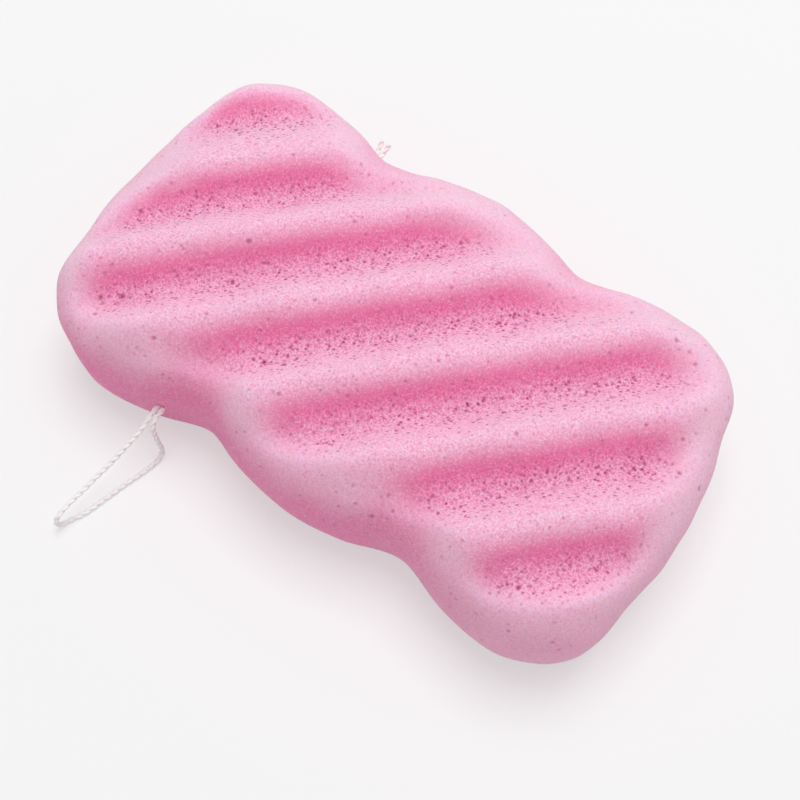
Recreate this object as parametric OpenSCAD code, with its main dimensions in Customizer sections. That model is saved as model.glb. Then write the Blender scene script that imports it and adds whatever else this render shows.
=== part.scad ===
// Konjac sponge: a moulded foam block with slanting waves on its top face,
// and a cotton hanging loop threaded through it.
// All lengths are millimetres. The long sides lie along X, the flat base lies on Z = 0,
// and the origin is at the middle of the base.

/* [Foam block] */
// Length, end to end
sponge_l = 130; // [115:1:150]
// Width over the lobes of the long sides
sponge_w = 74; // [66:1:84]
// Thickness, from the flat base to the wave crests in the middle
sponge_h = 34; // [28:1:40]
// Height of the widest line round the side wall
wide_z = 17; // [14:0.5:20]
// How far the top edge rounds in over the side wall
shoulder_reach = 13; // [9:0.5:16]
// How far the base edge rounds in under the side wall
base_reach = 7; // [5:0.5:9]
// How much the top face swells from its shoulder to its middle
crown_rise = 1; // [0:0.5:3]
// How much less one corner lobe reaches out than the other three
short_lobe_drop = 2.4; // [0:0.2:4]

/* [Waves] */
// Distance from one crest to the next
wave_pitch = 16.8; // [13:0.2:20]
// Height of a crest above the troughs beside it
wave_h = 5; // [2:0.5:7]
// Direction of the crests, turned from the long sides
wave_angle = 45; // [30:1:60]
// Distance from the middle of the block to the crest nearest to it
wave_shift = 6; // [0:0.5:8]
// Width of the plain rim that the waves leave free, before their field is moved
rim_w = 4.5; // [3:0.5:6]
// Further distance over which the waves grow to their full height
rim_fade = 6; // [5:0.5:9]
// How far the field of waves sits off the middle, towards the right end
waves_right = 4; // [0:0.5:5]
// How far the field of waves sits off the middle, towards the near side
waves_near = 5.5; // [0:0.5:6]
// Least width of the plain rim, where the waves come closest to the wall
least_rim_w = 0.2; // [0.1:0.1:1]

/* [Hanging string] */
// Diameter of the cotton string
string_d = 1.1; // [0.8:0.1:1.3]
// Gap between the two strands where they run side by side
strand_gap = 0.1; // [0.05:0.05:0.2]
// Diameter of the threaded hole through the block
hole_d = 3; // [2.8:0.1:3.6]
// Distance of the hole from the middle of the block, towards the left end
hole_x = 31.5; // [24:0.5:34]
// Height of the hole above the base
hole_z = 13; // [11:0.5:15]
// Turns of string round the stopper knot
knot_turns = 2; // [2:1:4]
// Gap between the knot and the wall that it stops against
knot_gap = 0.25; // [0.2:0.05:0.5]

/* [Hidden] */

// Outline of one quarter of the block, from the middle of the short end round the corner
// lobe and the neck to the middle of the long side: shares of the half length and half width
outline_shares = [
    [1, 0], [0.985, 0.40], [0.93, 0.80], [0.76, 0.99],
    [0.56, 0.97], [0.36, 0.87], [0.18, 0.96], [0, 1]
];
// Share of short_lobe_drop that each of those points takes on the short corner lobe
drop_shares = [
    [0, 0], [0.6, 0.2], [0.8, 0.8], [0.2, 1.0],
    [0, 0.4], [0, 0], [0, 0], [0, 0]
];
// Straight steps in each span of the outline curve
span_steps = 4;
// Share of the half length that the middle ridge of the block spans
spine_share = 0.7;
// Half the width of the loop of points that closes the top along the spine
spine_w = 1.2;
// Rings of points on the wall, on the shoulder and on the top face
wall_rings = 5;
shoulder_rings = 10;
top_rings = 12;
// Fullness of the rounded top and base edges: 1 is a quarter ellipse, and less is squarer
fullness_share = 0.8;

// Radius of the two straight strands, and of the core of the knot
string_r = string_d / 2;
strand_x = (string_d + strand_gap) / 2;
core_r = strand_x + string_r + strand_gap;
wrap_r = core_r + string_r - strand_gap;
// How far the core shows past the wraps at each end of the knot
core_lip = strand_gap;
knot_l = knot_turns * string_d + 2 * core_lip;
// Sides of the tubes of string
tube_sides = 8;
// Extra length of a cutting tool past a surface
overrun = 5;

// Route of the loop outside the block, from the left strand's mouth of the hole, down to
// the tip on the surface, and back along the surface to the right strand's mouth.
// Each point is counted from the middle of the hole's near mouth.
loop_route = [
    [-0.6, 0, 0], [-0.6, -1.6, 0], [-0.6, -3.1, -0.2], [-0.6, -4.8, -0.9], [-0.9, -7.0, -2.0],
    [-1.5, -9.6, -3.2], [-2.1, -12.2, -4.4], [-2.7, -14.8, -5.4], [-3.3, -17.4, -6.2],
    [-3.8, -20.0, -6.9], [-4.3, -22.6, -7.4], [-4.6, -24.8, -7.7], [-4.7, -26.4, -7.8],
    [-4.8, -27.5, -8.1], [-4.9, -28.4, -9.0], [-4.9, -28.7, -10.1], [-4.8, -28.4, -11.3],
    [-4.6, -27.6, -12.1], [-4.2, -26.4, -12.4], [-3.6, -25.2, -12.4], [-2.9, -23.8, -12.4],
    [-2.3, -22.0, -12.4], [-1.8, -20.0, -12.4], [-1.2, -17.8, -12.4], [-0.6, -15.6, -12.4],
    [0.0, -13.4, -12.4], [0.7, -11.2, -12.4], [1.3, -9.1, -12.4], [1.7, -7.2, -12.4],
    [1.9, -5.9, -12.0], [1.9, -5.0, -11.1], [1.8, -4.7, -9.9], [1.5, -4.7, -7.4],
    [1.2, -4.6, -5.0], [0.9, -4.5, -2.6], [0.7, -4.1, -1.3], [0.6, -3.2, -0.4],
    [0.6, -2.0, 0], [0.6, -1.0, 0], [0.6, 0, 0]
];
// Route of each cut end past the knot, counted from where its strand leaves the core
tail_route = [
    [0, 0, 0], [0, 0.6, 0], [0.1, 1.2, 0.1], [0.4, 1.8, 0.2]
];

half_l = sponge_l / 2;
half_w = sponge_w / 2;
// Height where the rounded shoulder meets the top face
shoulder_z = sponge_h - crown_rise - wave_h / 2;
ring_count = wall_rings + shoulder_rings + top_rings;

// One quarter of the outline in real size, with x and y signs for its corner
function quarter(sx, sy, drop) = [
    for (i = [0 : len(outline_shares) - 1])
        [sx * (outline_shares[i][0] * half_l - drop * drop_shares[i][0]),
         sy * (outline_shares[i][1] * half_w - drop * drop_shares[i][1])]
];
last = len(outline_shares) - 1;
far_right = quarter(1, 1, short_lobe_drop);
far_left = quarter(-1, 1, 0);
near_left = quarter(-1, -1, 0);
near_right = quarter(1, -1, 0);
knots = concat(
    far_right,
    [for (i = [last - 1 : -1 : 0]) far_left[i]],
    [for (i = [1 : last]) near_left[i]],
    [for (i = [last - 1 : -1 : 1]) near_right[i]]
);
// A smooth closed curve through the outline's points: each span is a cubic whose slope
// at a point follows the line between that point's two neighbours
function curve(a, b, c, d, t) =
    (2 * b + (c - a) * t + (2 * a - 5 * b + 4 * c - d) * t ^ 2
    + (3 * b - a - 3 * c + d) * t ^ 3) / 2;
knot_count = len(knots);
outline = [
    for (i = [0 : knot_count - 1], s = [0 : span_steps - 1])
        curve(
            knots[(i + knot_count - 1) % knot_count], knots[i],
            knots[(i + 1) % knot_count], knots[(i + 2) % knot_count],
            s / span_steps
        )
];
columns = len(outline);

// Point on the spine that a column of points closes towards
function spine(i) = [outline[i][0] * spine_share, 0];
// Point on column i, a given distance in from the outline
function inward(i, d) =
    let (to_spine = spine(i) - outline[i])
    outline[i] + to_spine * d / norm(to_spine);
function column_l(i) = norm(spine(i) - outline[i]);

// Width of the plain rim on a column of points: narrower where the waves are moved to
waves_off = [waves_right, -waves_near];
function plain_w(i) =
    let (to_spine = spine(i) - outline[i])
    max(least_rim_w, rim_w + to_spine * waves_off / norm(to_spine));
// Share of full height that the waves have on a column, a given distance in from the outline
function wave_share(i, d) =
    let (t = min(max((d - plain_w(i)) / rim_fade, 0), 1))
    t * t * (3 - 2 * t);
// Height of the waves over a point, above or below the plain top
function wave(p, share) =
    let (across = p[1] * cos(wave_angle) - p[0] * sin(wave_angle) - wave_shift)
    wave_h / 2 * cos(360 * across / wave_pitch) * share;

// The three stretches of the block's section: a ring is a distance in and a plain height.
// The wall rises from the base to its widest line
function wall_in(v) = base_reach * (1 - sin(v) ^ fullness_share);
function wall_z(v) = wide_z * (1 - cos(v) ^ fullness_share);
// The shoulder rounds in from the widest line to the top face
function shoulder_in(v) = shoulder_reach * (1 - cos(v) ^ fullness_share);
function shoulder_height(v) = wide_z + (shoulder_z - wide_z) * sin(v) ^ fullness_share;
// The top face swells a little towards the spine
function top_in(i, t) = shoulder_reach + (column_l(i) - spine_w - shoulder_reach) * t;
function top_height(t) = shoulder_z + crown_rise * sin(90 * t);

function block_point(i, d, z) =
    let (p = inward(i, d))
    [p[0], p[1], z + wave(p, wave_share(i, d))];
block_points = concat(
    [for (r = [0 : wall_rings - 1], i = [0 : columns - 1])
        let (v = 90 * r / wall_rings)
        [inward(i, wall_in(v))[0], inward(i, wall_in(v))[1], wall_z(v)]],
    [for (r = [0 : shoulder_rings - 1], i = [0 : columns - 1])
        let (v = 90 * r / shoulder_rings)
        block_point(i, shoulder_in(v), shoulder_height(v))],
    [for (r = [0 : top_rings - 1], i = [0 : columns - 1])
        let (t = r / (top_rings - 1))
        block_point(i, top_in(i, t), top_height(t))]
);
// How far the line between two points of the block runs across the waves
function crossing(m, n) =
    let (run = block_points[n] - block_points[m])
    abs(run[1] * cos(wave_angle) - run[0] * sin(wave_angle));
// Two triangles for each cell between ring r and the next, cut along the diagonal that
// runs more nearly with the crests
side_faces = [
    for (r = [0 : ring_count - 2], i = [0 : columns - 1])
        let (
            a = r * columns + i, b = r * columns + (i + 1) % columns,
            c = a + columns, d = b + columns,
            rising = crossing(a, d) <= crossing(b, c)
        )
        each rising ? [[a, c, d], [a, d, b]] : [[a, c, b], [b, c, d]]
];
// A ring closed by strips from each point to the one that faces it across the spine
function cap(first) = concat(
    [[first, first + 1, first + columns - 1]],
    [for (i = [1 : columns / 2 - 2], half = [0, 1])
        half == 0 ? [first + i, first + i + 1, first + columns - i - 1]
                  : [first + i, first + columns - i - 1, first + columns - i]],
    [[first + columns / 2 - 1, first + columns / 2, first + columns / 2 + 1]]
);
function turned(faces) = [for (f = faces) [f[2], f[1], f[0]]];
block_faces = concat(cap(0), side_faces, turned(cap((ring_count - 1) * columns)));

// How far a rounded edge stands in, at a share of its height away from the widest line
function rounded_in(reach, off_share) =
    reach * (1 - (1 - off_share ^ (2 / fullness_share)) ^ (fullness_share / 2));
// How far the side wall stands in from the outline at a given height
function wall_inset(z) =
    z > wide_z ? rounded_in(shoulder_reach, (z - wide_z) / (shoulder_z - wide_z))
               : rounded_in(base_reach, (wide_z - z) / wide_z);
// Half width of the block at x on the left half, at the height of the hole
left_side = [for (p = outline) if (p[0] <= 0 && p[1] > 0) [-p[0], p[1]]];
function wall_y(x) = lookup(x, left_side) - wall_inset(hole_z);
mouth_y = wall_y(hole_x);
// The wall slants, so the knot stops against the part of it that stands out furthest
knot_y = wall_y(hole_x + core_r) + knot_gap;

// Tube of string along a route: rings of points square to the route, closed at both ends
function unit(v) = v / norm(v);
function heading(p, i) = unit(p[min(i + 1, len(p) - 1)] - p[max(i - 1, 0)]);
function sides_of(p, i, n) =
    i == len(p) ? []
    : let (h = heading(p, i), m = unit(n - (n * h) * h))
      concat([m], sides_of(p, i + 1, m));
module string_tube(p) {
    n = sides_of(p, 0, [0, 0, 1]);
    points = [
        for (i = [0 : len(p) - 1], s = [0 : tube_sides - 1])
            let (a = 360 * s / tube_sides)
            p[i] + string_r * (cos(a) * n[i] + sin(a) * cross(heading(p, i), n[i]))
    ];
    walls = [
        for (i = [0 : len(p) - 2], s = [0 : tube_sides - 1], half = [0, 1])
            let (a = i * tube_sides + s, b = i * tube_sides + (s + 1) % tube_sides)
            half == 0 ? [a, a + tube_sides, b + tube_sides] : [a, b + tube_sides, b]
    ];
    start = [for (s = [0 : tube_sides - 1]) s];
    end = [for (s = [tube_sides - 1 : -1 : 0]) (len(p) - 1) * tube_sides + s];
    polyhedron(points, concat([start], walls, [end]));
}

// The foam block, with the hole that the string is threaded through
module sponge_body() {
    color("hotpink")
    difference() {
        polyhedron(block_points, block_faces);
        translate([-hole_x, 0, hole_z])
            rotate([90, 0, 0])
            cylinder(d = hole_d, h = sponge_w + overrun, center = true, $fn = 48);
    }
}

// The free loop, laid down from the hole to the surface that the block stands on
module string_loop() {
    route = [
        for (p = loop_route)
            [p[0] - hole_x, p[1] - mouth_y, max(p[2] + hole_z, string_r)]
    ];
    color("white") string_tube(route);
}

// The two strands side by side in the hole, from the loop to the knot
module string_run() {
    color("white")
    for (side = [-1, 1])
        translate([side * strand_x - hole_x, knot_y, hole_z])
            rotate([90, 0, 0])
            cylinder(r = string_r, h = knot_y + mouth_y, $fn = 24);
}

// The stopper knot: turns of string wound tight round the two strands
module string_knot() {
    color("white")
    translate([-hole_x, knot_y, hole_z])
        rotate([-90, 0, 0])
        rotate_extrude($fn = 48)
        union() {
            square([core_r, knot_l]);
            for (turn = [0 : knot_turns - 1])
                translate([wrap_r, core_lip + (turn + 0.5) * string_d])
                    circle(r = string_r, $fn = 24);
            translate([0, core_lip + string_r])
                square([wrap_r, knot_l - 2 * core_lip - string_d]);
        }
}

// The two cut ends of the string, past the knot
module string_tails() {
    color("white")
    for (side = [-1, 1])
        string_tube([
            for (p = tail_route)
                [side * (strand_x + p[0]) - hole_x, knot_y + knot_l + p[1], hole_z + p[2]]
        ]);
}

sponge_body();
string_loop();
string_run();
string_knot();
string_tails();
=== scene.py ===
# %% [markdown]
# # A wave-faced konjac sponge
#
# This notebook dresses a bath sponge: a soft foam block with slanting waves moulded into its
# top, and a thin cotton string through it that ends in a hanging loop. The block's real size
# is 130 x 74 x 34 mm, so the whole lesson works in millimetres and turns them into metres
# once, when a mesh is made.
#
# First the finished construction is loaded. Its pieces are already at their real size and
# place, and every new piece made below is fitted to them.

# %% Load the construction
import math

import bpy
import numpy as np
from mathutils import Matrix, Vector


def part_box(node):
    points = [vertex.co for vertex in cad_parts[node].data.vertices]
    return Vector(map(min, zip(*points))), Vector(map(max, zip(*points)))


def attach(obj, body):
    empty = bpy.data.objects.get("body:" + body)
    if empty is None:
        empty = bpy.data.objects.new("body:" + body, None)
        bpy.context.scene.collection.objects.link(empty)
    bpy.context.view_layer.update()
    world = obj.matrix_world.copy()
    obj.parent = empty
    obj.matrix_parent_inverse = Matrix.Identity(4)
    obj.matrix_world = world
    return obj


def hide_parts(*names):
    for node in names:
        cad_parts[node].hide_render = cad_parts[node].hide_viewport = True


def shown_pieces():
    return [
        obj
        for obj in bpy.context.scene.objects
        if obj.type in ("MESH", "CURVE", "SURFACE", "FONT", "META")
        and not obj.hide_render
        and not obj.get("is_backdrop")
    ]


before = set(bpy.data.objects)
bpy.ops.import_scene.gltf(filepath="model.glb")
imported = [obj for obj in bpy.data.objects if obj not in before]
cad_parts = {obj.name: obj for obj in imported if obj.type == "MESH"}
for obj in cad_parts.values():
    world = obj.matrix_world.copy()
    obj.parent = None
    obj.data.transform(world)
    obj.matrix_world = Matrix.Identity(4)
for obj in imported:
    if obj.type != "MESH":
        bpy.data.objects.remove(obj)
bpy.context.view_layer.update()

MM = 0.001  # one millimetre in Blender's metres

# %% [markdown]
# ## The camera
#
# A camera is a place and three directions: right, up and back. Turning round the object by
# an azimuth, climbing by an elevation and then rolling by a small angle gives all three. The
# photograph was taken from above the near right corner, looking steeply down.

# %% Place the camera
camera_azimuth, camera_elevation, camera_roll = 34.6, 64.7, 0.7  # degrees
camera_aim = np.array([5.0, -5.7, 11.0])  # mm, the point in the middle of the picture
camera_distance = 263.8  # mm
lens_mm = 60.25  # focal length, in front of Blender's sensor of 36 mm


def camera_directions(azimuth, elevation, roll):
    """Unit vectors right, up and back. Back points from the aim to the camera; right is level
    and square to it; up is back x right; then both turn round back by the roll."""
    a, e, r = np.radians([azimuth, elevation, roll])
    back = np.array([np.sin(a) * np.cos(e), -np.cos(a) * np.cos(e), np.sin(e)])
    right = np.array([np.cos(a), np.sin(a), 0.0])
    up = np.cross(back, right)
    return (
        np.cos(r) * right + np.sin(r) * up,
        np.cos(r) * up - np.sin(r) * right,
        back,
    )


right, up, back = camera_directions(camera_azimuth, camera_elevation, camera_roll)
lens = bpy.data.cameras.new("camera")
lens.lens = lens_mm
lens.sensor_fit = "HORIZONTAL"
camera = bpy.data.objects.new("camera", lens)
bpy.context.scene.collection.objects.link(camera)
camera.matrix_world = Matrix.LocRotScale(
    Vector((camera_aim + camera_distance * back) * MM),
    Matrix(np.stack([right, up, back], axis=1).tolist()).to_quaternion(),
    None,
)
bpy.context.scene.camera = camera
print("camera, mm:", np.round(camera_aim + camera_distance * back, 1))

# %% [markdown]
# ## From a grid of points to a mesh
#
# Every piece here is a surface: a grid of points with rows along one direction and columns
# along the other. Blender takes whole arrays with `foreach_set`, so no loop ever visits a
# vertex. A grid of vertex numbers says which corners each four-sided face uses, and it may
# name one vertex twice, which is how a seam closes.

# %% Make meshes from arrays


def quads(numbers, wrap):
    """Faces of a grid of vertex numbers: each takes four neighbours, and with wrap the last
    column joins the first."""
    right_of = np.roll(numbers, -1, axis=1) if wrap else numbers[:, 1:]
    here = numbers if wrap else numbers[:, :-1]
    corners = [here[:-1], right_of[:-1], right_of[1:], here[1:]]
    return np.stack(corners, axis=-1).reshape(-1, 4)


def mesh_piece(name, points_mm, faces, body):
    """A smooth-shaded mesh object in metres, at the origin, that rides on a body."""
    mesh = bpy.data.meshes.new(name)
    mesh.vertices.add(len(points_mm))
    mesh.vertices.foreach_set("co", (np.asarray(points_mm) * MM).astype(np.float32).ravel())
    mesh.loops.add(faces.size)
    mesh.loops.foreach_set("vertex_index", faces.astype(np.int32).ravel())
    mesh.polygons.add(len(faces))
    corners = faces.shape[1]
    mesh.polygons.foreach_set("loop_start", np.arange(0, faces.size, corners, dtype=np.int32))
    mesh.update(calc_edges=True)
    mesh.validate()
    mesh.shade_smooth()
    piece = bpy.data.objects.new(name, mesh)
    bpy.context.scene.collection.objects.link(piece)
    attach(piece, body)
    print(f"{name}: {len(points_mm)} points, {len(faces)} faces")
    return piece


def store(piece, name, values):
    """Keep one number for each vertex as an attribute that a material can read."""
    kept = piece.data.attributes.new(name, "FLOAT", "POINT")
    kept.data.foreach_set("value", np.asarray(values, np.float32).ravel())


# %% [markdown]
# ## The cotton string
#
# One length of white cotton string goes through the block and back by the same hole, and its
# ends are tied together. What is left outside is a narrow loop: it leaves the hole, sinks,
# turns back just over the surface that the sponge stands on, and comes home along it.
#
# A smooth line through listed points gives the string's middle. A limp cord may bend
# sharply, but never tighter than about two of its own diameters.

# %% Route of the string
string_d = 1.1  # mm
string_r = string_d / 2
strand_x = 0.6  # mm from the middle of the hole to the middle of each strand
# x, y and z in mm, counted from the middle of the hole's near mouth
loop_route = np.array([
    [-0.6, 0, 0], [-0.6, -1.6, 0], [-0.6, -3.1, -0.2], [-0.6, -4.8, -0.9], [-0.9, -7.0, -2.0],
    [-1.5, -9.6, -3.2], [-2.1, -12.2, -4.4], [-2.7, -14.8, -5.4], [-3.3, -17.4, -6.2],
    [-3.8, -20.0, -6.9], [-4.3, -22.6, -7.4], [-4.6, -24.8, -7.7], [-4.7, -26.4, -7.8],
    [-4.8, -27.5, -8.1], [-4.9, -28.4, -9.0], [-4.9, -28.7, -10.1], [-4.8, -28.4, -11.3],
    [-4.6, -27.6, -12.1], [-4.2, -26.4, -12.4], [-3.6, -25.2, -12.4], [-2.9, -23.8, -12.4],
    [-2.3, -22.0, -12.4], [-1.8, -20.0, -12.4], [-1.2, -17.8, -12.4], [-0.6, -15.6, -12.4],
    [0.0, -13.4, -12.4], [0.7, -11.2, -12.4], [1.3, -9.1, -12.4], [1.7, -7.2, -12.4],
    [1.9, -5.9, -12.0], [1.9, -5.0, -11.1], [1.8, -4.7, -9.9], [1.5, -4.7, -7.4],
    [1.2, -4.6, -5.0], [0.9, -4.5, -2.6], [0.7, -4.1, -1.3], [0.6, -3.2, -0.4],
    [0.6, -2.0, 0], [0.6, -1.0, 0], [0.6, 0, 0],
])
run_low, run_high = (np.array(corner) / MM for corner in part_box("string_run"))
hole_middle = (run_low + run_high) / 2
mouth = np.array([hole_middle[0], run_low[1], hole_middle[2]])
print("hole's near mouth, mm:", np.round(mouth, 2))

# %% Lines in space
tiny = 1e-9  # keeps a vector of no length from being divided by nought


def smooth_line(knots, steps):
    """A smooth open curve through the knots: between two of them it is a cubic whose slope at
    each follows the line between that knot's neighbours (a Catmull-Rom curve)."""
    ends = [2 * knots[:1] - knots[1:2], knots, 2 * knots[-1:] - knots[-2:-1]]
    k = np.concatenate(ends)
    a, b, c, d = (k[i : len(k) - 3 + i, None, :] for i in range(4))
    t = (np.arange(steps) / steps)[None, :, None]
    cubic = 2 * b + (c - a) * t + (2 * a - 5 * b + 4 * c - d) * t**2
    cubic = (cubic + (3 * b - a - 3 * c + d) * t**3) / 2
    return np.concatenate([cubic.reshape(-1, k.shape[1]), knots[-1:]])


def along(line):
    """Distance of each point of a line from its start."""
    steps = np.linalg.norm(np.diff(line, axis=0), axis=1)
    return np.concatenate([[0.0], np.cumsum(steps)])


def unit(vectors):
    """Vectors of length one, with the same directions."""
    return vectors / np.maximum(np.linalg.norm(vectors, axis=-1, keepdims=True), tiny)


# %% The loop's middle line
route_steps = 6  # points on the smooth line for each point of the route


def loop_path():
    """The loop's middle line in mm, never lower than a string that lies on the surface."""
    path = smooth_line(loop_route + mouth, route_steps)
    path[:, 2] = np.maximum(path[:, 2], string_r)
    return path


string_path = loop_path()

# %% [markdown]
# ### Two plies laid together
#
# The string is two plies laid round each other. Seen end on, two touching plies make a figure
# of eight, and laying them is the same as turning that figure slowly as it travels along. So
# one tube, whose outline is a turning figure of eight, is a laid string.

# %% Rings along a line
nearly_along = 0.9  # cosine with x from which a line counts as running along it


def resampled(line, spacing):
    """The same line with its points about evenly spaced."""
    s = along(line)
    even = np.linspace(0, s[-1], max(int(s[-1] / spacing), 2))
    return np.stack([np.interp(even, s, line[:, i]) for i in range(line.shape[1])], axis=1)


def steady_frames(line):
    """Directions across a line that don't spin round it: each starts as the last one, made
    square to the line again. The loop visits rings, not vertices."""
    forward = unit(np.gradient(line, axis=0))
    across = np.empty_like(line)
    side = np.array([1.0, 0.0, 0.0])
    if abs(forward[0][0]) >= nearly_along:
        side = np.array([0.0, 0.0, 1.0])
    for i, ahead in enumerate(forward):
        side = side - ahead * (side @ ahead)
        side = side / np.linalg.norm(side)
        across[i] = side
    return across, np.cross(forward, across)


# %% Sweep the string along a path
lay_pitch = 3.4  # mm for one full turn of the two plies
ply_share = 0.64  # radius of a ply as a share of the string's
string_sides = 20  # points round each ring
ring_spacing = 0.14  # mm from ring to ring


def eight_radius(angle, radius):
    """Outline of two touching round plies, as distance from the middle at an angle: with ply
    radius a, each centred c out, it is c|cos| + sqrt(a^2 - c^2 sin^2)."""
    a = ply_share * radius
    c = radius - a
    return c * np.abs(np.cos(angle)) + np.sqrt(a**2 - (c * np.sin(angle)) ** 2)


def laid_string(name, paths):
    """A mesh of two-ply string along each path, with round caps: rings of the figure-of-eight
    outline, turned by 2 pi s / pitch at distance s, that shrink to a point at both ends."""
    points, faces, first = [], [], 0
    around = np.linspace(0, 2 * np.pi, string_sides, endpoint=False)
    for path in paths:
        line = resampled(path, ring_spacing)
        s = along(line)
        one, other = steady_frames(line)
        outline = eight_radius(around[None, :] - 2 * np.pi * s[:, None] / lay_pitch, string_r)
        from_end = np.minimum(s, s[-1] - s)[:, None] / string_r
        outline = outline * np.sqrt(np.clip(1 - (1 - np.minimum(from_end, 1)) ** 2, 0, 1))
        ring = (
            line[:, None, :]
            + (outline * np.cos(around))[..., None] * one[:, None, :]
            + (outline * np.sin(around))[..., None] * other[:, None, :]
        )
        numbers = first + np.arange(ring.shape[0] * string_sides).reshape(-1, string_sides)
        points.append(ring.reshape(-1, 3))
        faces.append(quads(numbers, wrap=True))
        first += ring.shape[0] * string_sides
    return mesh_piece(name, np.concatenate(points), np.concatenate(faces)[:, ::-1], "string")


# %% Make the loop
string_loop = laid_string("string_loop_cord", [string_path])
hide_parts("string_loop")

# %% [markdown]
# ### The hidden run and the knot
#
# Inside the block the two strands run side by side to the far side, where a knot stops them:
# turns of string are wound tight round the pair, and the two cut ends stick out past them.
# Each turn lies flat and steps along to the next one over a short way, as on a reel.

# %% Strands through the block
knot_low, knot_high = (np.array(corner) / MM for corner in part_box("string_knot"))
in_knot = 0.6  # mm that the run and the cut ends reach into the knot
run_points = 100  # on each strand
print("knot, mm:", np.round(knot_high - knot_low, 2))


def run_paths():
    """Two straight strands side by side through the block."""
    y = np.linspace(mouth[1], knot_low[1] + in_knot, run_points)
    return [
        np.stack([mouth[0] + side * strand_x + 0 * y, y, mouth[2] + 0 * y], axis=1)
        for side in (-1, 1)
    ]


# %% Winding of the knot
knot_turns = 2
turn_points = 80  # on each turn
tuck_turns = 0.22  # turns over which an end of the winding sinks in towards the pair
tuck_share = 0.55  # radius of the winding at its ends, as a share of its full radius
step_turns = 0.4  # turns over which the winding steps along


def smoothstep(x):
    """0 below 0, 1 above 1, and 3x^2 - 2x^3 between."""
    x = np.clip(x, 0, 1)
    return x * x * (3 - 2 * x)


def knot_path():
    """The winding: a circle round the pair that starts at its top, steps along by one
    diameter as it passes each whole turn, and shrinks to tuck_share at both ends."""
    turn = np.linspace(0, knot_turns, turn_points * knot_turns)
    out = smoothstep(np.minimum(turn, knot_turns - turn) / tuck_turns)
    radius = (knot_high[0] - knot_low[0]) / 2 - string_r
    radius = radius * (tuck_share + (1 - tuck_share) * out)
    whole = np.arange(1, knot_turns)[:, None]
    steps = smoothstep((turn - whole) / step_turns + 0.5).sum(axis=0)
    first_y = (knot_low[1] + knot_high[1] - (knot_turns - 1) * string_d) / 2
    angle = 2 * np.pi * turn + np.pi / 2
    return np.stack([
        mouth[0] + radius * np.cos(angle),
        first_y + string_d * steps,
        mouth[2] + radius * np.sin(angle),
    ], axis=1)


# %% Cut ends
tails_low, tails_high = (np.array(corner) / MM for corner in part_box("string_tails"))
loose_end = 1.5  # mm that they stand out and up past their plain solid
tail_points = 30  # on each end
print("cut ends, mm:", np.round(tails_high - tails_low, 2))


def tail_paths():
    """Two cut ends that fan out: they part and lift with the square of the way, and end
    loose_end farther out and higher than their plain solid."""
    t = np.linspace(0, 1, tail_points)
    start = knot_high[1] - in_knot
    end = tails_high[1] + loose_end
    spread = (tails_high[0] - tails_low[0]) / 2 - string_r - strand_x
    return [
        np.stack([
            mouth[0] + side * (strand_x + spread * t**2),
            start + (end - start) * t,
            mouth[2] + (tails_high[2] - string_r - mouth[2] + loose_end) * t**2,
        ], axis=1)
        for side in (-1, 1)
    ]


# %% Make the run, the knot and the cut ends
for name, paths, node_name in [
    ("string_run_strands", run_paths(), "string_run"),
    ("string_knot_turns", [knot_path()], "string_knot"),
    ("string_cut_ends", tail_paths(), "string_tails"),
]:
    piece = laid_string(name, paths)
    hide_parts(node_name)

# %% [markdown]
# ## The foam block
#
# Seen from above the block is an oblong with two soft dents in each long side. One quarter of
# that outline is eight points, given as shares of the half length and half width, and a
# smooth closed curve runs through all four quarters. The far right corner is drawn in a
# little, so it bulges less than the others.

# %% Outline of the block
block_low, block_high = (np.array(corner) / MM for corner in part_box("sponge_body"))
half_l, half_w = 65.0, 37.0  # mm
block_h = 34.0  # mm
short_lobe_drop = 2.4  # mm that the far right corner is drawn in
quarter_shares = np.array([
    [1, 0], [0.985, 0.40], [0.93, 0.80], [0.76, 0.99],
    [0.56, 0.97], [0.36, 0.87], [0.18, 0.96], [0, 1],
])
# Share of that drop for each of the eight points, along x and along y
drop_shares = np.array([
    [0, 0], [0.6, 0.2], [0.8, 0.8], [0.2, 1.0],
    [0, 0.4], [0, 0], [0, 0], [0, 0],
])
span_steps = 48  # points in each stretch between two of the outline's points
print("block, mm:", np.round(block_high - block_low, 1))


def outline_curve():
    """Closed curve anticlockwise from the middle of the right end: four mirrored quarters,
    then a Catmull-Rom curve through their points."""
    plain = quarter_shares * [half_l, half_w]
    far_right = plain - short_lobe_drop * drop_shares
    knots = np.concatenate([
        far_right,
        plain[-2::-1] * [-1, 1],
        plain[1:] * [-1, -1],
        plain[-2:0:-1] * [1, -1],
    ])
    a, b, c, d = (np.roll(knots, shift, axis=0)[:, None, :] for shift in (1, 0, -1, -2))
    t = (np.arange(span_steps) / span_steps)[None, :, None]
    cubic = 2 * b + (c - a) * t + (2 * a - 5 * b + 4 * c - d) * t**2
    return ((cubic + (3 * b - a - 3 * c + d) * t**3) / 2).reshape(-1, 2)


outline = outline_curve()
print("outline:", len(outline), "points, mm:", np.round(np.ptp(outline, axis=0), 1))

# %% [markdown]
# ## Up the wall and over the top
#
# From each point of the outline a line runs level to the block's middle line, the spine.
# A place on the block is then two numbers: which line, and how far in along it. The section
# along every line is the same: the wall swells from the base to its widest line, the shoulder
# rounds over, and the top climbs very gently to the spine. Both rounded edges are quarter
# ellipses made a little squarer, which follows the photograph's outline more closely.
#
# The last row of points lies on the spine itself, where each line meets the one from the other
# side, so both share one vertex and the top closes without a seam.

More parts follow.
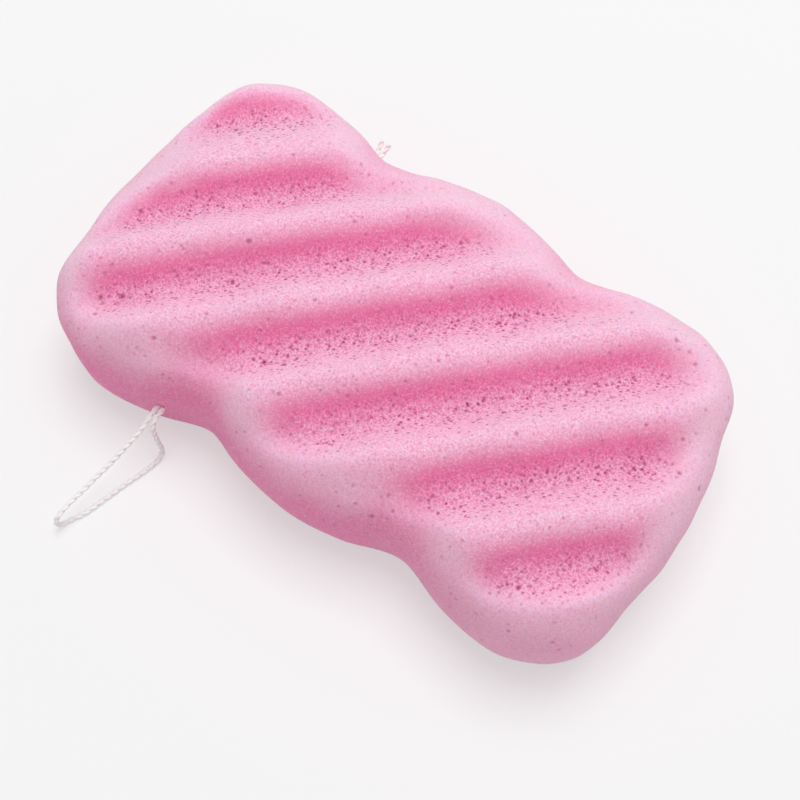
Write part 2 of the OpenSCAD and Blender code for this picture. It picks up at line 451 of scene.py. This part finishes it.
# %% Section of the block
spine_share = 0.7  # length of the spine as a share of the block's
wide_z = 17.0  # mm, height of the wall's widest line
base_reach = 7.0  # mm in from the outline to the edge of the flat base
shoulder_reach = 13.0  # mm in from the outline to the start of the top
fullness = 0.8  # of both rounded edges: 1 is a plain quarter ellipse, and less is squarer
crown_rise = 1.0  # mm that the top climbs to the spine
wave_h = 5.0  # mm from a trough up to a crest
shoulder_z = block_h - crown_rise - wave_h / 2
base_rows, wall_rows, shoulder_rows, top_rows = 8, 26, 58, 96  # of points in each stretch


def section_rows():
    """Insets and plain heights of each row, for every column: four stretches, from the middle
    of the base out to its edge, up the wall, over the shoulder and in to the spine."""
    spine = outline * [spine_share, 0]
    reach = np.linalg.norm(outline - spine, axis=1)
    base_t = np.linspace(0, 1, base_rows, endpoint=False)[:, None]
    wall_v = np.linspace(0, np.pi / 2, wall_rows, endpoint=False)[:, None]
    shoulder_v = np.linspace(0, np.pi / 2, shoulder_rows, endpoint=False)[:, None]
    top_t = np.linspace(0, 1, top_rows)[:, None]
    ones = np.ones_like(reach)[None, :]
    insets = [
        reach + (base_reach - reach) * base_t,
        base_reach * (1 - np.sin(wall_v) ** fullness) * ones,
        shoulder_reach * (1 - np.cos(shoulder_v) ** fullness) * ones,
        shoulder_reach + (reach - shoulder_reach) * top_t,
    ]
    heights = [
        0 * base_t * ones,
        wide_z * (1 - np.cos(wall_v) ** fullness) * ones,
        (wide_z + (shoulder_z - wide_z) * np.sin(shoulder_v) ** fullness) * ones,
        (shoulder_z + crown_rise * np.sin(np.pi / 2 * top_t)) * ones,
    ]
    return np.concatenate(insets), np.concatenate(heights), spine, reach


insets, heights, spine, reach = section_rows()
inward = (spine - outline) / reach[:, None]
plan = outline[None, :, :] + insets[..., None] * inward[None, :, :]
top_side = np.arange(len(insets)) >= base_rows + wall_rows
print("rows:", len(insets), "columns:", len(outline))

# %% [markdown]
# ## The waves
#
# The waves are a cosine of the distance across them. They run at 45 degrees to the long side
# and fade out before the rim, so the block keeps a plain rounded edge all round. The mould set
# them a little off the middle, so that edge is narrower on the near side and the right end.
# The last wave, at the far left, is a little longer than the others, so the distance is
# stretched there before the cosine is taken.

# %% Add the waves
wave_pitch = 16.8  # mm from crest to crest
wave_angle = math.radians(45)  # between the crests and the long side
wave_shift = 6.0  # mm from the block's middle to the next crest towards the far left
rim_w = 1.2  # mm in from the outline at which the waves start
rim_fade = 9.0  # mm over which they grow to their full height
waves_off = np.array([2.5, -3.0])  # mm that the field of waves sits off the middle
slope_share = 0.5  # of the height below the shoulder, counted as distance outside it
end_stretch = 3.2  # mm that the last wave is longer
stretch_from, stretch_over = 38.0, 14.0  # mm across the waves where that starts, and over how much


def across_waves(xy):
    """Distance across the waves, which grows towards the far left: y cos a - x sin a."""
    return xy[..., 1] * math.cos(wave_angle) - xy[..., 0] * math.sin(wave_angle)


across = across_waves(plan)
stretch = end_stretch * smoothstep((across - stretch_from) / stretch_over)
phase = 2 * np.pi * (across - stretch - wave_shift) / wave_pitch  # 0 on a crest
field = insets - slope_share * np.maximum(shoulder_z - heights, 0) + stretch
fade = smoothstep((field - rim_w - inward @ waves_off) / rim_fade) * top_side[:, None]
crest = np.cos(phase)
surface = np.concatenate([plan, (heights + wave_h / 2 * crest * fade)[..., None]], axis=-1)
print("highest point, mm:", round(float(surface[..., 2].max()), 2))

# %% [markdown]
# A moulded foam is never quite even. A few long, low waves in several directions, far too
# weak to notice one by one, take the drawn look off the walls and crests.

# %% Make it a little uneven
lump_lengths = np.array([26.0, 19.0, 13.0, 9.0, 7.0])  # mm
lump_directions = np.radians([15.0, 70.0, 118.0, 160.0, 40.0])
lump_phases = lump_directions * 5  # any that differ will do
lump_height_share = 0.007  # of each wave's length
lump_climb = 0.6  # mm along the wave for each mm up the wall


def lumps(points):
    """Unevenness in mm: the sum of height * sin(2 pi distance / length + phase) over a few
    directions, where a share of the point's height above the base adds to the distance."""
    level = np.stack([np.cos(lump_directions), np.sin(lump_directions)])
    distance = points[..., :2] @ level + lump_climb * points[..., 2:]
    waves = np.sin(2 * np.pi * distance / lump_lengths + lump_phases)
    return (waves * lump_lengths * lump_height_share).sum(axis=-1)


# %% [markdown]
# ## Pores
#
# Konjac foam is full of bubbles, and where the mould cut through them the surface has round
# pits. Space is divided into small cubes, and each may hold one bubble at a random place with
# a random size. A point of the surface inside a bubble sinks by how deep it lies in it.
# Random numbers come from mixing the cube's own whole-number place, so they are the same on
# every run.

# %% Bubbles at random places
cell_primes = [73856093, 19349663, 83492791]  # one for each of a cube's three numbers
salt_prime = 97
mixer = 73244475  # an odd number whose bits are well spread
low_bits = 2**32 - 1  # a mask that keeps 32 bits
half_bits = 16  # half of them


def chance(cell, salt):
    """A fixed random number from 0 to 1 for each whole-number cell: its three numbers and the
    salt times primes, joined by exclusive or, then mixed by shifts and cut to 32 bits."""
    x, y, z = (cell[..., axis] * prime for axis, prime in enumerate(cell_primes))
    h = (x ^ y ^ z ^ salt * salt_prime) & low_bits
    for _ in range(2):
        h = ((h ^ (h >> half_bits)) * mixer) & low_bits
    return ((h ^ (h >> half_bits)) & low_bits) / (low_bits + 1)


def bubble_depth(points, cube, radii, share, salt):
    """How deep each point lies in a bubble, in mm: radius * sqrt(1 - (distance / radius)^2),
    the largest over the bubbles of its own cube and the 26 round it. The salt and the four
    after it draw a bubble's place, its radius, and whether its cube holds one at all."""
    home = np.floor(points / cube).astype(np.int64)
    depth = np.zeros(points.shape[:-1])
    for step in np.array(np.meshgrid(*[[-1, 0, 1]] * 3)).reshape(3, -1).T:
        cell = home + step
        place = np.stack([chance(cell, salt + axis) for axis in range(3)], axis=-1)
        radius = radii[0] + (radii[1] - radii[0]) * chance(cell, salt + 3) ** 2
        off = np.linalg.norm(points - (cell + place) * cube, axis=-1) / radius
        held = (chance(cell, salt + 4) < share) & (off < 1)
        found = radius * np.sqrt(np.clip(1 - off**2, 0, 1)) * held
        depth = np.maximum(depth, found)
    return depth


# %% [markdown]
# ### Where the skin is open, and where trough shade is painted
#
# The mould leaves a closed skin on the crests and on the slopes below them that face the
# camera. It is open from the trough up the far-facing slope. A painted shade, deep pink, stands
# in for the shade on the near-facing slopes and in the troughs; it is deepest at the foot of the
# near-facing one. Both follow the waves' own phase, turned one way or the other, and fade out a
# little farther in than the waves do.

# %% Painted trough shade and open cells
deepest_shade_turn = math.radians(30)  # how far the deepest painted shade lies up the near-facing slope
end_turn = math.radians(35)  # and how much farther where a trough tapers off
lee_turn = math.radians(-40)  # how far up the far-facing slope the cells are most open
tint_w, tint_fade = 2.0, 14.0  # mm, as the rim and its fade, for the troughs' painted shade
tint_off = np.array([3.0, -3.5])  # mm, as the waves' offset, for the troughs' painted shade

colour_fade = smoothstep((field + stretch - tint_w - inward @ tint_off) / tint_fade)
colour_fade = colour_fade * top_side[:, None]
# Painted shade for the near-facing slopes and the troughs, from 0 on a crest to 1 at its deepest
shade_phase = phase - deepest_shade_turn - end_turn * (1 - colour_fade)
trough_shade = (1 - np.cos(shade_phase)) / 2 * colour_fade
open_cells = smoothstep((1 - np.cos(phase - lee_turn)) / 2 * colour_fade)
print(f"open cells on {np.mean(open_cells > 0.5):.0%} of the points")

# %% Sink the pores
# For each size of bubble: the cube's side, the smallest and the largest radius in mm, and the
# share of the cubes that hold one where the skin is closed and where it is open
pore_sizes = [(2.6, 0.34, 0.6, 0.12, 0.4), (1.15, 0.26, 0.42, 0.2, 0.7)]
salts_apart = 11  # between two sizes, more than the salts that one bubble needs
pore_depth_share = 0.75  # of a bubble's depth that the surface sinks
least_pore = 0.05  # mm, the depth from which a point is counted as in a pore
lee_skin_turn = math.radians(50)  # from a crest down the far-facing slope, the skin's middle
lee_skin_from, lee_skin_fade = 0.5, 0.4  # of the cosine, where that starts, and over how much
lee_skin_share = 0.85  # of a pore's depth that the skin fills there


def outward(surface):
    """Unit normals of the closed grid: the way round x the way up, straight down on the base's
    first row and straight up on the spine."""
    round_way = np.roll(surface, -1, axis=1) - np.roll(surface, 1, axis=1)
    normal = unit(np.cross(round_way, np.gradient(surface, axis=0)))
    normal[0] = [0, 0, -1]
    normal[-1] = [0, 0, 1]
    return normal


depth = np.zeros_like(trough_shade)
for size, (cube, least_r, most_r, closed_share, open_share) in enumerate(pore_sizes):
    share = closed_share + (open_share - closed_share) * open_cells
    found = bubble_depth(surface, cube, (least_r, most_r), share, salts_apart * (size + 1))
    depth = np.maximum(depth, pore_depth_share * found)
lee_skin = smoothstep((np.cos(phase - lee_skin_turn) - lee_skin_from) / lee_skin_fade) * fade
depth = depth * (1 - lee_skin_share * lee_skin)
depth *= np.arange(len(insets))[:, None] > base_rows  # the underside stays flat
raised = lumps(surface) * smoothstep(surface[..., 2] / wide_z) - depth
surface = surface + outward(surface) * raised[..., None]
print(f"pores: {np.mean(depth > least_pore):.0%} of the points, deepest {depth.max():.2f} mm")

# %% Close the block into one mesh


def block_numbers(rows, columns):
    """Vertex numbers of the grid. The base's first row and the spine are shared: column i and
    column n - i meet there, so both take the lower one's number."""
    numbers = np.arange(rows * columns).reshape(rows, columns)
    mirrored = (columns - np.arange(columns)) % columns
    shared = np.minimum(np.arange(columns), mirrored)
    for row in (0, -1):
        numbers[row] = numbers[row][shared]
    return numbers


numbers = block_numbers(*surface.shape[:2])
used, renumbered = np.unique(numbers, return_inverse=True)
faces = quads(renumbered.reshape(numbers.shape), wrap=True)
foam = mesh_piece("foam_block", surface.reshape(-1, 3)[used], faces, "sponge")

# %% [markdown]
# ### Numbers that the colours follow
#
# A material can't know where a trough or a wall is, so each vertex carries the answer as
# attributes, each from 0 to 1. The walls get a painted shade that deepens as they go down, for
# the block's own shade near the floor. That starts a little higher in the dents of the long
# sides, and is weaker towards the right end, which is paler: painted light for the lamp falling
# more fully on that end.

# %% Painted shade down the walls
wall_top, wall_fade = 31.0, 14.0  # mm, where the walls' painted shade starts, and over how much
neck_shade_rise = 3.0  # mm that it starts higher in the dents of the long sides
neck_share, neck_fade_share = 0.97, 0.1  # of the half width, below which a side is a dent
neck_reach_share = 0.7  # of the half length, past which the outline narrows for the ends
painted_light_share = 0.45  # how much of the painted wall shade the right end lacks: painted light there
lit_from, lit_fade = 10.0, 40.0  # mm along the block where that painted light starts, and over how much

neck = smoothstep((neck_share - np.abs(outline[:, 1]) / half_w) / neck_fade_share)
neck = neck * (np.abs(outline[:, 0]) < neck_reach_share * half_l)
painted_light_end = smoothstep((outline[:, 0] - lit_from) / lit_fade)
# Painted shade down the walls, lightened by painted light at the right end
wall = smoothstep((wall_top + neck_shade_rise * neck - surface[..., 2]) / wall_fade)
wall = wall * (1 - painted_light_share * painted_light_end)
print(f"walls' deeper colour: {wall.mean():.2f} on average")

# %% Painted shade of the troughs and the pores, and the grain
crest_shade_tint = 0.12  # how much of the troughs' painted shade the crests have
trough_shade_start = 0.12  # of the way down into a trough, where its painted shade starts
band_calm = 0.8  # how far the grain fades where the closed skin lines a trough, under its painted shade
least_seen = 0.25  # how far fine cells show through the closed skin
rim_grain = 0.5  # how much of the grain shows on the rim and the walls
full_pore = 0.34  # mm of depth at which a pore shows its full painted shade

trough_shade_share = smoothstep((trough_shade - trough_shade_start) / (1 - trough_shade_start))
grain_seen = 1 - band_calm * trough_shade_share * (1 - open_cells)
grain_seen = grain_seen * (rim_grain + (1 - rim_grain) * colour_fade)
seen_cells = open_cells + (1 - open_cells) * least_seen * grain_seen
# Painted shade inside the pits, darker the deeper a point lies
pore_shade = smoothstep(depth / full_pore)
# The trough, wall and both pore values are painted shade; the wall's is lightened by painted light
# at the right end
for name, values in [
    ("trough_shade", crest_shade_tint * colour_fade + (1 - crest_shade_tint) * trough_shade_share),
    ("grain", grain_seen),
    ("wall", wall),
    ("cells", seen_cells),
    ("skin_pore_shade", pore_shade * (1 - seen_cells)),
    ("cell_pore_shade", pore_shade * seen_cells),
]:
    store(foam, name, values.reshape(-1)[used])
    print(f"{name}: {values.min():.2f} to {values.max():.2f}")
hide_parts("sponge_body")

# %% [markdown]
# ## Materials
#
# Colours are written as sRGB hex, as a colour picker shows them, and one function turns them
# into the linear values that light is added up in. One more function adds a node with its
# settings and links.

# %% Material helpers


def linear(hex_colour):
    """Linear RGBA of an sRGB hex colour: c/12.92 for dark values, else
    ((c + 0.055) / 1.055) ^ 2.4."""
    c = np.array([int(hex_colour[i : i + 2], 16) for i in (1, 3, 5)]) / 255
    return (*np.where(c <= 0.04045, c / 12.92, ((c + 0.055) / 1.055) ** 2.4), 1.0)


def node(tree, kind, inputs=None, **settings):
    """Add a node of this kind, set its properties, and fill its inputs with values, or with
    links where the value is another node's output."""
    made = tree.nodes.new(kind)
    for name, value in settings.items():
        setattr(made, name, value)
    for name, value in (inputs or {}).items():
        if isinstance(value, bpy.types.NodeSocket):
            tree.links.new(value, made.inputs[name])
        else:
            made.inputs[name].default_value = value
    return made


def material(name):
    """An empty node material, its tree and its output node."""
    made = bpy.data.materials.new(name)
    made.use_nodes = True
    made.node_tree.nodes.clear()
    return made, made.node_tree, node(made.node_tree, "ShaderNodeOutputMaterial")


# %% [markdown]
# ### Konjac foam
#
# Konjac flour is cooked with water to a gel, which sets in a mould and is frozen. That leaves
# a soft foam. It gives the eye no gloss: light sinks in and comes out again some millimetres
# away, redder than it went in. Where the skin is open there are cell mouths, darkened with
# painted shade for the shade inside them, with a net of pale walls between them. Most cells are
# too small to be meshed, so two cell patterns (Voronoi) draw them: one by the distance to the
# nearest cell's middle, and one by the distance to the nearest wall.

# %% The foam's open cells
cell_d = 1.0  # mm, from one dark cell mouth to the next
mouth_edge, mouth_full = 0.42, 0.16  # of that, from a mouth's middle to its edge and to the full dark of its painted shade
mouth_none, mouth_all = 0.15, 0.75  # of a cell's own random number, for no mouth and a full one
net_d = 0.85  # mm, mesh of the pale walls between cells
thin_wall, thick_wall = 0.04, 0.3  # of that mesh
wall_grain_low, wall_grain_high = 0.3, 0.7  # grain at which the walls are thin and thick


def cell_mouths(tree, place, cells):
    """Painted shade inside the mouth of a cell: how dark it is, from 0 at its edge to its own
    darkness in the middle, which is a random share of how open the cells are."""
    spots = node(tree, "ShaderNodeTexVoronoi", {"Vector": place, "Scale": 1 / (cell_d * MM)})
    darkness = node(tree, "ShaderNodeMapRange", {
        "Value": spots.outputs["Color"],
        "From Min": mouth_none, "From Max": mouth_all, "To Max": cells,
    }).outputs[0]
    return node(tree, "ShaderNodeMapRange", {
        "Value": spots.outputs["Distance"],
        "From Min": mouth_edge, "From Max": mouth_full, "To Max": darkness,
    }).outputs[0]


def cell_walls(tree, place, cells, grain):
    """How pale the wall between two cells is: it falls from full on the wall to 0 at its own
    width, and the grain makes that width uneven."""
    net = node(tree, "ShaderNodeTexVoronoi", {
        "Vector": place, "Scale": 1 / (net_d * MM),
    }, feature="DISTANCE_TO_EDGE").outputs["Distance"]
    width = node(tree, "ShaderNodeMapRange", {
        "Value": grain, "From Min": wall_grain_low, "From Max": wall_grain_high,
        "To Min": thin_wall, "To Max": thick_wall,
    }).outputs[0]
    return node(tree, "ShaderNodeMapRange", {
        "Value": net, "From Min": width, "From Max": 0.0, "To Max": cells,
    }).outputs[0]


# %% The foam's colours
grain_d = 0.4  # mm, fine grain of the skin
plain_grain, palest_grain, deepest_grain = 0.5, 0.7, 0.25  # values of the grain's pattern
deep_wall_share, bare_share, pale_wall_share = 0.85, 0.5, 0.85  # the most that each covers


def foam_colour(tree, place):
    """The closed skin's pale pink under the other colours, each laid over those before it by
    its own share: below + share * (colour - below). Painted shade lies in the troughs, down the
    walls, in the pores and in the cell mouths. Also gives how dark a cell's mouth is."""
    trough_shade, wall, cells, grain_seen, skin_pore_shade, cell_pore_shade = (
        node(tree, "ShaderNodeAttribute", attribute_name=name).outputs["Fac"]
        for name in ("trough_shade", "wall", "cells", "grain", "skin_pore_shade", "cell_pore_shade")
    )
    grain = node(tree, "ShaderNodeTexNoise", {
        "Vector": place, "Scale": 1 / (grain_d * MM), "Detail": 2.0, "Roughness": 0.6,
    }).outputs["Fac"]
    deep_grain, pale_grain = (
        node(tree, "ShaderNodeMapRange", {
            "Value": grain, "From Min": plain_grain, "From Max": full, "To Max": grain_seen,
        }).outputs[0]
        for full in (deepest_grain, palest_grain)
    )
    mouth = cell_mouths(tree, place, cells)
    net = cell_walls(tree, place, cells, grain)
    # The painted wall shade, the bare foam and the pale cell walls, each up to its own share
    deep_wall, bare, pale_wall = (
        node(tree, "ShaderNodeMapRange", {"Value": value, "To Max": most}).outputs[0]
        for value, most in (
            (wall, deep_wall_share), (cells, bare_share), (net, pale_wall_share),
        )
    )
    skin = linear("#FACCE1")
    for share, colour in [
        (trough_shade, "#EB64A3"),  # painted shade in the troughs
        (deep_wall, "#F964A2"),  # painted shade down the walls
        (bare, "#F39EC6"),  # foam without its skin
        (deep_grain, "#E396BC"),  # deeper and paler specks of the grain
        (pale_grain, "#FFDCEB"),
        (pale_wall, "#FFC2DE"),  # thin walls between open cells, which let light through
        (mouth, "#C04A86"),  # their dark mouths, painted shade inside the cells
        (skin_pore_shade, "#D695BA"),  # painted shade in the meshed pores, faint through the skin
        (cell_pore_shade, "#C4508A"),  # and dark among open cells
    ]:
        # Inputs 0, 6 and 7 of a colour mix are its share and its two colours
        skin = node(tree, "ShaderNodeMix", {
            0: share, 6: skin, 7: linear(colour),
        }, data_type="RGBA").outputs[2]
    return skin, mouth


# %% The foam's finish
mouth_dip = 0.2  # mm that a cell mouth seems to sink
light_reach = 8.0  # mm that light travels inside the foam


def konjac_foam():
    """Freeze-set konjac foam, dyed pink: matt and softly translucent, pale where the mould's
    skin is closed, with painted shade in the troughs and down the walls, and speckled where
    the cells are open."""
    made, tree, output = material("konjac_foam")
    place = node(tree, "ShaderNodeTexCoord").outputs["Object"]
    skin, mouth = foam_colour(tree, place)
    bump = node(tree, "ShaderNodeBump", {
        "Height": mouth, "Strength": 0.5, "Distance": mouth_dip * MM,
    }, invert=True)
    shader = node(tree, "ShaderNodeBsdfPrincipled", {
        "Base Color": skin,
        "Roughness": 0.85,
        "Subsurface Weight": 0.9,
        "Subsurface Radius": (1.0, 0.3, 0.4),
        "Subsurface Scale": light_reach * MM,
        "Specular IOR Level": 0.2,
        "Sheen Weight": 0.05,
        "Sheen Roughness": 0.5,
        "Normal": bump.outputs[0],
    })
    tree.links.new(shader.outputs[0], output.inputs[0])
    return made


foam.data.materials.append(konjac_foam())
print("foam:", len(foam.data.materials[0].node_tree.nodes), "nodes")

# %% Cotton string
fibre_d = 0.25  # mm, coarser than a real fibre so that it shows
fibre_relief = 0.08  # mm that the fibres seem to stand out


def cotton():
    """Bleached cotton string: white, matt, with a soft sheen from its loose fibres."""
    made, tree, output = material("bleached_cotton")
    place = node(tree, "ShaderNodeTexCoord").outputs["Object"]
    fibres = node(tree, "ShaderNodeTexNoise", {
        "Vector": place, "Scale": 1 / (fibre_d * MM), "Detail": 3.0,
    }).outputs["Fac"]
    colour = node(tree, "ShaderNodeMix", {
        0: fibres, 6: linear("#FBFAF7"), 7: linear("#FFFFFF"),
    }, data_type="RGBA").outputs[2]
    bump = node(tree, "ShaderNodeBump", {
        "Height": fibres, "Strength": 0.4, "Distance": fibre_relief * MM,
    })
    shader = node(tree, "ShaderNodeBsdfPrincipled", {
        "Base Color": colour, "Roughness": 0.9, "Sheen Weight": 0.2, "Normal": bump.outputs[0],
    })
    tree.links.new(shader.outputs[0], output.inputs[0])
    return made


cotton_string = cotton()
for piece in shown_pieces():
    if piece.name.startswith("string_"):
        piece.data.materials.append(cotton_string)
        print("cotton on", piece.name)

# %% [markdown]
# ## Floor and light
#
# A pale floor, an even white sky and one large lamp on the far side of the picture, a little
# to the right. The lamp comes steeply down over the waves, so that the slopes that face the
# camera lie in its shade.

# %% Floor
floor_half = 1500.0  # mm, half the side of the square
seen_colour, bounce_colour = "#F9F9F9", "#EEEEEE"  # to the camera, and to the object's light
plain_share = 0.5  # how much of the floor the camera sees as plain near-white, without shade


def floor():
    """A level square far larger than the view, with a matt finish. The camera sees it nearly
    white, and it throws a little less light back at the object."""
    corners = np.array([[-1, -1, 0], [1, -1, 0], [1, 1, 0], [-1, 1, 0]]) * floor_half
    mesh = bpy.data.meshes.new("floor")
    mesh.from_pydata((corners * MM).tolist(), [], [(0, 1, 2, 3)])
    made, tree, output = material("pale_floor")
    seen = node(tree, "ShaderNodeLightPath").outputs["Is Camera Ray"]
    colour = node(tree, "ShaderNodeMix", {
        0: seen, 6: linear(bounce_colour), 7: linear(seen_colour),
    }, data_type="RGBA").outputs[2]
    matt = node(tree, "ShaderNodeBsdfDiffuse", {"Color": colour}).outputs[0]
    plain = node(tree, "ShaderNodeEmission", {"Color": linear(seen_colour)}).outputs[0]
    share = node(tree, "ShaderNodeMapRange", {"Value": seen, "To Max": plain_share}).outputs[0]
    mix = node(tree, "ShaderNodeMixShader", {0: share, 1: matt, 2: plain}).outputs[0]
    tree.links.new(mix, output.inputs[0])
    mesh.materials.append(made)
    piece = bpy.data.objects.new("floor", mesh)
    bpy.context.scene.collection.objects.link(piece)
    piece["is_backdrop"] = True


floor()

# %% Lights
sky_strength = 0.47
key_strength = 0.56  # what the lamp adds to a white surface that faces it
key_elevation = 78.0  # degrees
key_right = 25.0  # degrees round from the far side towards the picture's right
key_distance = 0.9  # m
key_size = 0.5  # m


def sky():
    """An even white world."""
    world = bpy.data.worlds.new("sky")
    world.use_nodes = True
    tree = world.node_tree
    tree.nodes.clear()
    glow = node(tree, "ShaderNodeBackground", {"Color": (1, 1, 1, 1), "Strength": sky_strength})
    tree.links.new(glow.outputs[0], node(tree, "ShaderNodeOutputWorld").inputs[0])
    bpy.context.scene.world = world


def key_lamp():
    """A square lamp that faces the block. A lamp of P watts lights a facing white surface d
    metres away to P / (pi d)^2, so P is strength * (pi d)^2."""
    lamp = bpy.data.lights.new("key", "AREA")
    lamp.energy = key_strength * (math.pi * key_distance) ** 2
    lamp.size = key_size
    azimuth = math.radians(camera_azimuth - key_right)
    elevation = math.radians(key_elevation)
    direction = Vector((
        -math.sin(azimuth) * math.cos(elevation),
        math.cos(azimuth) * math.cos(elevation),
        math.sin(elevation),
    ))
    holder = bpy.data.objects.new("key", lamp)
    holder.location = direction * key_distance
    holder.rotation_mode = "QUATERNION"
    holder.rotation_quaternion = direction.to_track_quat("Z", "Y")
    bpy.context.scene.collection.objects.link(holder)


sky()
key_lamp()
bpy.context.scene.view_settings.view_transform = "Standard"
